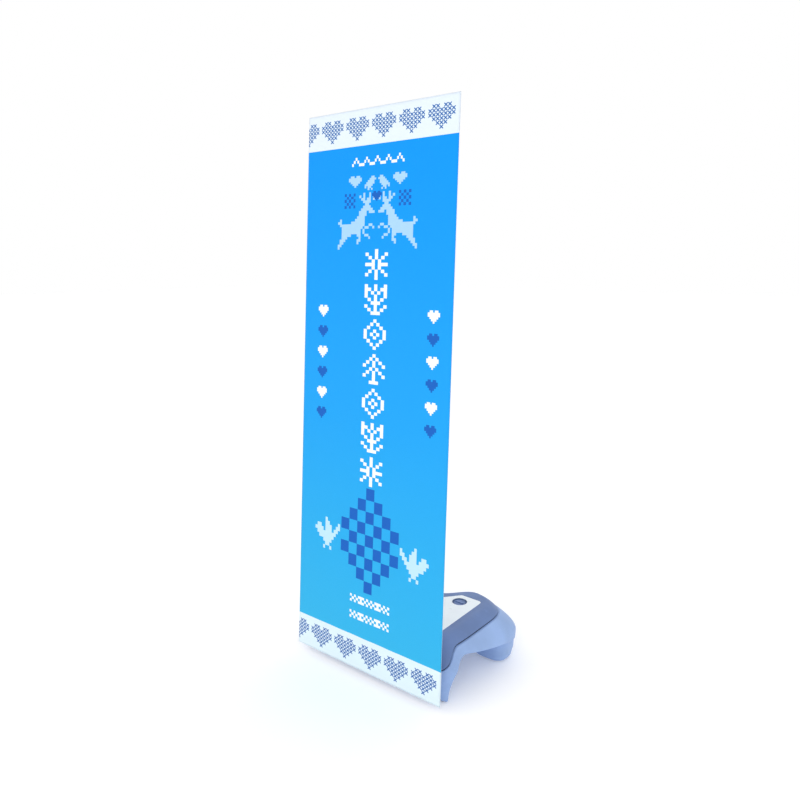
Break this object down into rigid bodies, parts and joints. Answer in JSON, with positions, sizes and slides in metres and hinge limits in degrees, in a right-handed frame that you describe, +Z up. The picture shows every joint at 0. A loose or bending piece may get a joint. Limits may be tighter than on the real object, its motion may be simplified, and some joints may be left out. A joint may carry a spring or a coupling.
{
  "type": "x banner stand",
  "caption": "Free-standing X banner stand: a printed upright sheet stretched by crossed telescopic arms on a sprung mast in a water-filled moulded base.",
  "frame": {"origin": "on the floor, at the centre of the outer box of the stand", "axes": "+X across the sheet to the right seen from its printed front, +Y to the back, +Z up"},
  "size_m": [0.6796, 0.4865, 1.848],
  "materials": {
    "tank_plastic": "satin blue-grey moulded polyethylene, fine texture",
    "cover_plastic": "satin darker blue-grey moulded plastic",
    "panel_plastic": "pale semi-gloss inlay",
    "cap_plastic": "satin mid blue-grey",
    "black_plastic": "fine-textured black nylon",
    "seal_rubber": "matt black rubber",
    "spring_steel": "drawn spring wire",
    "zinc_steel": "bright zinc plate",
    "anodised_aluminium": "satin anodised, drawn lengthwise",
    "fibreglass": "pale pultruded glass fibre",
    "printed_fabric": "blue printed polyester with pale cross-stitch ornament",
    "pocket_fabric": "white woven pocket cloth"
  },
  "bodies": {
    "base": {"tank_body": "tank_plastic", "top_cover": "cover_plastic", "panel_right": "panel_plastic", "panel_left": "panel_plastic", "mast_socket": "zinc_steel", "socket_screw_1": "zinc_steel", "socket_screw_2": "zinc_steel", "socket_screw_3": "zinc_steel", "socket_screw_4": "zinc_steel", "spring_plug_lower": "zinc_steel", "foot_pad_front_right": "seal_rubber", "foot_pad_front_left": "seal_rubber", "foot_pad_rear_right": "seal_rubber", "foot_pad_rear_left": "seal_rubber"},
    "cap_seal": {"cap_seal": "seal_rubber"},
    "fill_cap": {"fill_cap": "cap_plastic"},
    "drain_seal": {"drain_seal": "seal_rubber"},
    "drain_plug": {"drain_plug": "cap_plastic"},
    "spring": {"flex_spring": "spring_steel"},
    "mast_lower": {"spring_plug_upper": "zinc_steel", "mast_tube_lower": "anodised_aluminium", "guide_bush": "black_plastic", "clamp_collar": "black_plastic", "lever_pin": "zinc_steel"},
    "clamp_lever": {"clamp_lever": "black_plastic"},
    "mast_upper": {"mast_tube_upper": "anodised_aluminium", "mast_bush": "black_plastic", "hub_housing": "black_plastic", "pivot_bolt": "zinc_steel", "banner_sheet": "printed_fabric", "corner_pocket_upper_right": "pocket_fabric", "corner_pocket_upper_left": "pocket_fabric", "corner_pocket_lower_right": "pocket_fabric", "corner_pocket_lower_left": "pocket_fabric"},
    "hub_knob": {"hub_knob": "black_plastic"},
    "arm_front": {"arm_hub_front": "black_plastic", "arm_tube_upper_right": "anodised_aluminium", "arm_tube_lower_left": "anodised_aluminium"},
    "arm_rear": {"arm_hub_rear": "black_plastic", "arm_tube_upper_left": "anodised_aluminium", "arm_tube_lower_right": "anodised_aluminium"},
    "rod_upper_right": {"arm_rod_upper_right": "fibreglass", "arm_tip_upper_right": "black_plastic"},
    "lock_upper_right": {"twist_lock_upper_right": "black_plastic"},
    "rod_lower_left": {"arm_rod_lower_left": "fibreglass", "arm_tip_lower_left": "black_plastic"},
    "lock_lower_left": {"twist_lock_lower_left": "black_plastic"},
    "rod_upper_left": {"arm_rod_upper_left": "fibreglass", "arm_tip_upper_left": "black_plastic"},
    "lock_upper_left": {"twist_lock_upper_left": "black_plastic"},
    "rod_lower_right": {"arm_rod_lower_right": "fibreglass", "arm_tip_lower_right": "black_plastic"},
    "lock_lower_right": {"twist_lock_lower_right": "black_plastic"}
  },
  "joints": [
    {"name": "mast_flex", "type": "hinge", "parent": "base", "child": "spring", "pos_m": [0, -0.11919, 0.24655], "axis": [-1, 0, 0], "range_deg": [-3, 25], "stiffness_Nm_per_rad": 110, "deforming": ["flex_spring"]},
    {"name": "mast_sway", "type": "hinge", "parent": "spring", "child": "mast_lower", "pos_m": [0, -0.11919, 0.24655], "axis": [0, 0.9989, -0.0471], "range_deg": [-6, 6], "stiffness_Nm_per_rad": 110, "deforming": ["flex_spring"]},
    {"name": "mast_height", "type": "slide", "parent": "mast_lower", "child": "mast_upper", "axis": [0, 0.0471, 0.9989], "range_m": [0, 0.18]},
    {"name": "clamp_lever_turn", "type": "hinge", "parent": "mast_lower", "child": "clamp_lever", "pos_m": [0, -0.07005, 0.67281], "axis": [1, 0, 0], "range_deg": [0, 100]},
    {"name": "arm_fold", "type": "hinge", "parent": "mast_upper", "child": "arm_front", "pos_m": [0, -0.08703, 0.92857], "axis": [0, -0.9989, 0.0471], "range_deg": [0, 13], "deforming": ["banner_sheet", "corner_pocket_upper_right", "corner_pocket_lower_left", "corner_pocket_upper_left", "corner_pocket_lower_right"]},
    {"name": "arm_fold_rear", "type": "hinge", "parent": "mast_upper", "child": "arm_rear", "pos_m": [0, -0.08703, 0.92857], "axis": [0, -0.9989, 0.0471], "range_deg": [-13, 0]},
    {"name": "hub_knob_turn", "type": "hinge", "parent": "mast_upper", "child": "hub_knob", "pos_m": [0, -0.08703, 0.92857], "axis": [0, 0.9989, -0.0471], "range_deg": [0, 360]},
    {"name": "rod_slide_upper_right", "type": "slide", "parent": "arm_front", "child": "rod_upper_right", "axis": [-0.3011, 0.0295, -0.9531], "range_m": [0, 0.3]},
    {"name": "lock_turn_upper_right", "type": "hinge", "parent": "arm_front", "child": "lock_upper_right", "pos_m": [0, -0.12704, 0.93045], "axis": [0.3011, -0.0295, 0.9531], "range_deg": [0, 90]},
    {"name": "rod_slide_lower_left", "type": "slide", "parent": "arm_front", "child": "rod_lower_left", "axis": [0.3011, 0.1191, 0.9461], "range_m": [0, 0.3]},
    {"name": "lock_turn_lower_left", "type": "hinge", "parent": "arm_front", "child": "lock_lower_left", "pos_m": [0, -0.12704, 0.93045], "axis": [-0.3011, -0.1191, -0.9461], "range_deg": [0, 90]},
    {"name": "rod_slide_upper_left", "type": "slide", "parent": "arm_rear", "child": "rod_upper_left", "axis": [0.3006, 0.0477, -0.9526], "range_m": [0, 0.3]},
    {"name": "lock_turn_upper_left", "type": "hinge", "parent": "arm_rear", "child": "lock_upper_left", "pos_m": [0, -0.11014, 0.92966], "axis": [-0.3006, -0.0477, 0.9526], "range_deg": [0, 90]},
    {"name": "rod_slide_lower_right", "type": "slide", "parent": "arm_rear", "child": "rod_lower_right", "axis": [-0.3006, 0.1371, 0.9438], "range_m": [0, 0.3]},
    {"name": "lock_turn_lower_right", "type": "hinge", "parent": "arm_rear", "child": "lock_lower_right", "pos_m": [0, -0.11014, 0.92966], "axis": [0.3006, -0.1371, -0.9438], "range_deg": [0, 90]},
    {"name": "cap_lift", "type": "slide", "parent": "base", "child": "cap_seal", "axis": [0, 0, 1], "range_m": [0, 0.0151]},
    {"name": "cap_turn", "type": "hinge", "parent": "cap_seal", "child": "fill_cap", "pos_m": [0.157, 0.087, 0.17], "axis": [0, 0, 1], "range_deg": [0, 1080]},
    {"name": "drain_lift", "type": "slide", "parent": "base", "child": "drain_seal", "axis": [0, 1, 0], "range_m": [0, 0.0241]},
    {"name": "drain_turn", "type": "hinge", "parent": "drain_seal", "child": "drain_plug", "pos_m": [-0.215, 0.219, 0.122], "axis": [0, 1, 0], "range_deg": [0, 1440]}
  ],
  "couplings": [
    {"joint": "arm_fold_rear", "follows": "arm_fold", "ratio": -1},
    {"joint": "cap_lift", "follows": "cap_turn", "m_per_rad": 0.0007958},
    {"joint": "drain_lift", "follows": "drain_turn", "m_per_rad": 0.0009549}
  ]
}
